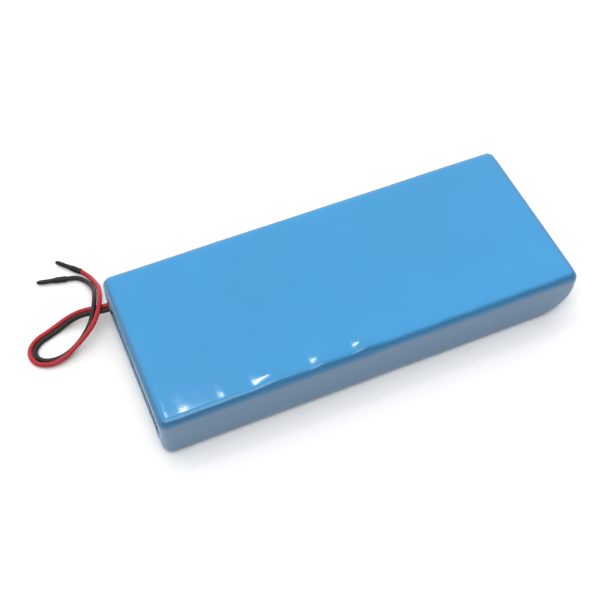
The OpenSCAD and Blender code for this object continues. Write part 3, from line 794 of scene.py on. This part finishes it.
def opening_inset(end):
    """How far the film reaches in over one end at each place, with a wavy edge and, on the leads'
    end, a step back round them."""
    rng = random.Random(OPENING_SEED + end)
    inset = np.full(PLACES, RIM_W)
    if end > 0:
        low = (CENTRES[:, 1] < 0) & (WAYS[:, 1] < -0.5)
        inset = np.where(low, HEEL_RIM_W, inset)
        reach = OPENING_BLUR // 2
        inset = np.convolve(np.concatenate([inset[-reach:], inset, inset[:reach]]),
                            np.ones(OPENING_BLUR) / OPENING_BLUR, "valid")
    for count in OPENING_WAVES:
        height = rng.uniform(0.06, 0.16)
        inset = inset + height * np.sin(count * PLACE_ANGLES + rng.uniform(0, 6.28))
    if end < 0:
        ring = ring_points(-HALF_L, RIM_W)
        near = (ring[:, 1] > 0) & (np.abs(WAYS[:, 0]) > 0.5)
        gap = np.where(near, np.abs(ring[:, 2] - EXIT_Z), np.inf)
        inset = NOTCH_RIM_W + (inset - NOTCH_RIM_W) * smooth_step(gap, NOTCH_FROM, NOTCH_TO)
    return inset


def end_rows(end):
    """The rings of one end, -1 or 1, from inside its opening out to the straight run."""
    edge = opening_inset(end)
    gathered = pleats(end)
    rows = [moved(ring_points(end * HALF_L, edge - back), gathered, keep, depth)
            for depth, back, keep in LIP_ROWS]
    for k in range(RIM_STEPS + 1):
        inward = 1 - k / RIM_STEPS
        dip = RIM_DIP * float(smooth_step(inward, 0.0, 0.95))
        share = PLEAT_AT_EDGE + (1 - PLEAT_AT_EDGE) * inward
        rows.append(moved(ring_points(end * HALF_L, EDGE_R + (edge - EDGE_R) * inward),
                          share * gathered, 1.0, dip))
    for k in range(1, ARC_STEPS + 1):
        turn = math.pi / 2 * (1 - k / ARC_STEPS)
        ring = ring_points(end * (HALF_L - EDGE_R * (1 - math.sin(turn))),
                           EDGE_R * (1 - math.cos(turn)))
        rows.append(moved(ring, PLEAT_AT_EDGE * (1 - math.cos(turn)) * gathered))
    return rows


def sleeve_rings():
    """The tube's rings: from inside one opening, out over its edge, along, into the other and
    back along the film's inner face."""
    straight = HALF_L - EDGE_R
    outer = [moved(ring_points(x, 0.0), 0.0)
             for x in np.linspace(-straight, straight, BODY_STEPS + 1)[1:-1]]
    inner = [moved(ring_points(x, 0.0), 0.0, 0.0, FILM_T)
             for x in np.linspace(straight, -straight, INNER_STEPS + 1)]
    return end_rows(-1) + outer + end_rows(1)[::-1] + inner


# ---- Film sleeve: its material ----

# The film's colour where it lies level over the flat boards, its lit copy; a darker copy on its
# roundings and sloping faces, which is painted shade; a greyer copy on its upright faces, which is
# painted shade with a painted reflection of the pale table; then the colour of its fine mottle and of its
# worn edges
FILM_LEVEL_LIT = (0.017, 0.243, 0.522)
FILM_PAINTED_SHADE = (0.03, 0.155, 0.31)
FILM_SIDE_SHADE_AND_REFLECTION = (0.105, 0.20, 0.32)
FILM_MOTTLE = (0.035, 0.27, 0.52)
FILM_WORN = (0.13, 0.40, 0.66)
# Wear shows this near to the ends and to the long sides
WEAR_FROM_END = 7.0
WEAR_FROM_SIDE = 3.0


def film_material():
    """Blue shrink film: glossy, with slow colour drift, fine orange peel and light edge wear. Darker on
    its roundings and sloping faces as painted shade, and greyer on its upright faces as painted shade with
    a painted reflection of the pale table.
    """
    material, tree, shader, vector = new_material("sleeve_film_shrunk", FILM_LEVEL_LIT, 0.14, 0.0, 1.52)
    coords = next(n for n in tree.nodes if n.type == "TEX_COORD")
    level = axis_of(tree, coords.outputs["Normal"], "Z")
    # Painted shade on the roundings and sloping faces, plus a painted reflection of the pale table on
    # upright ones
    flat = remap(tree, level, 0.80, 0.985)
    upright = remap(tree, level, 0.12, 0.5, 1.0, 0.0)
    cloud = drift(tree, vector, 14.0)
    mottle = remap(tree, noise(tree, vector, 160.0, 5.0, 0.65), 0.35, 0.75)
    level_lit_colour = mixed_colour(tree, maths(tree, "MULTIPLY", mottle, 0.10),
                          shaded(tree, cloud, FILM_LEVEL_LIT, 0.95, 1.05), FILM_MOTTLE)
    painted_shade_colour = mixed_colour(tree, upright, shaded(tree, cloud, FILM_PAINTED_SHADE, 0.9, 1.1), FILM_SIDE_SHADE_AND_REFLECTION)

    at_end = remap(tree, axis_of(tree, vector, "X"), (HALF_L - WEAR_FROM_END) * MM, HALF_L * MM)
    at_side = remap(tree, axis_of(tree, vector, "Y"), (HALF_W - WEAR_FROM_SIDE) * MM, HALF_W * MM)
    edge = maths(tree, "MAXIMUM", at_end, maths(tree, "MULTIPLY", at_side, 0.5))
    streaks = stretched(tree, vector, (260.0, 420.0, 420.0))
    scuff = remap(tree, noise(tree, streaks, 1.0, 6.0, 0.7), 0.56, 0.70)
    wear = maths(tree, "MULTIPLY", maths(tree, "MULTIPLY", scuff, edge), 0.12)
    coloured(tree, shader,
             mixed_colour(tree, wear, mixed_colour(tree, flat, painted_shade_colour, level_lit_colour), FILM_WORN))
    satin = drift(tree, vector, 55.0, 4.0, 0.12, 0.16)
    tree.links.new(maths(tree, "ADD", satin, maths(tree, "MULTIPLY", wear, 0.5)),
                   shader.inputs["Roughness"])

    peel = bumped(tree, shader, noise(tree, vector, 420.0, 2.0), 0.000012)
    fine = noise(tree, stretched(tree, vector, (500.0, 1500.0, 1500.0)), 1.0, 3.0)
    bumped(tree, shader, maths(tree, "MULTIPLY", fine, at_end), 0.00012, peel)
    return material


def make_sleeve():
    rings = sleeve_rings()
    faces = []
    for k in range(len(rings)):
        this, following = k * PLACES, (k + 1) % len(rings) * PLACES
        for w in range(PLACES):
            n = (w + 1) % PLACES
            faces.append((this + w, following + w, following + n, this + n))
    piece = mesh_piece("film_sleeve", np.concatenate(rings), faces, film_material())
    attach(piece, "root")
    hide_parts("shrink_sleeve")


make_sleeve()

# ---- Table, light and background ----

FLOOR_HALF = 4000.0
FLOOR_STEPS = 8
FLOOR_Z = -0.02
FLOOR_GREY = 0.885
FLOOR_PALE = 0.9
# The light tent is bright towards this direction; it goes from dark to bright between two
# values of the ray's dot product with it
TENT_WAY = (-0.04, 0.66, 0.75)
TENT_FROM, TENT_TO = 0.10, 0.75
TENT_DARK, TENT_BRIGHT = 0.25, 1.45
# A bright ring along the horizon, full below one height of the ray and gone above the other
HORIZON_FULL, HORIZON_FADE = 0.10, 0.24
HORIZON_BRIGHT = 1.02


def make_floor():
    material, tree, shader, vector = new_material("table_top", (FLOOR_PALE,) * 3, 0.75)
    shader.inputs["Specular IOR Level"].default_value = 0.2
    coloured(tree, shader, mixed_colour(tree, drift(tree, vector, 6.0, 2.0),
                                        (FLOOR_GREY,) * 3, (FLOOR_PALE,) * 3))
    lines = np.linspace(-FLOOR_HALF, FLOOR_HALF, FLOOR_STEPS + 1)
    points = [(x, y, FLOOR_Z) for y in lines for x in lines]
    row = FLOOR_STEPS + 1
    faces = [(j * row + i, j * row + i + 1, (j + 1) * row + i + 1, (j + 1) * row + i)
             for j in range(FLOOR_STEPS) for i in range(FLOOR_STEPS)]
    mesh_piece("table_top", points, faces, material, False)


def make_world():
    """A light tent: bright above and behind the pack and all along the horizon, darker on the
    near side."""
    world = bpy.data.worlds.new("studio")
    world.use_nodes = True
    tree = world.node_tree
    ground = tree.nodes["Background"]
    ground.inputs["Color"].default_value = (1.0, 1.0, 1.0, 1.0)
    coords = tree.nodes.new("ShaderNodeTexCoord")
    dot = tree.nodes.new("ShaderNodeVectorMath")
    dot.operation = "DOT_PRODUCT"
    dot.inputs[1].default_value = TENT_WAY
    tree.links.new(coords.outputs["Generated"], dot.inputs[0])
    tent = remap(tree, dot.outputs["Value"], TENT_FROM, TENT_TO, TENT_DARK, TENT_BRIGHT)
    height = axis_of(tree, coords.outputs["Generated"], "Z")
    horizon = remap(tree, height, HORIZON_FADE, HORIZON_FULL, 0.0, HORIZON_BRIGHT)
    tree.links.new(maths(tree, "MAXIMUM", tent, horizon), ground.inputs["Strength"])
    bpy.context.scene.world = world


def make_light(name, at_m, towards_m, size_m, watts):
    data = bpy.data.lights.new(name, "AREA")
    data.shape = "RECTANGLE"
    data.size, data.size_y = size_m
    data.energy = watts
    lamp = bpy.data.objects.new(name, data)
    lamp.location = at_m
    away = np.array(at_m) - np.array(towards_m)
    tilt = math.atan2(math.hypot(away[0], away[1]), away[2])
    lamp.rotation_euler = (tilt, 0.0, math.atan2(away[0], -away[1]))
    bpy.context.scene.collection.objects.link(lamp)


make_floor()
make_world()
make_light("key_softbox", (-0.25, -0.45, 1.30), (0.0, 0.0, 0.0), (1.0, 0.8), 7.0)
# Small and high behind the pack: the rises of the film over the first cells mirror it
make_light("glint_lamp", (-0.034, 0.428, 1.131), (-0.052, -0.036, 0.025), (0.045, 0.065), 0.75)
bpy.context.scene.view_settings.view_transform = "Standard"
bpy.context.scene.view_settings.look = "None"
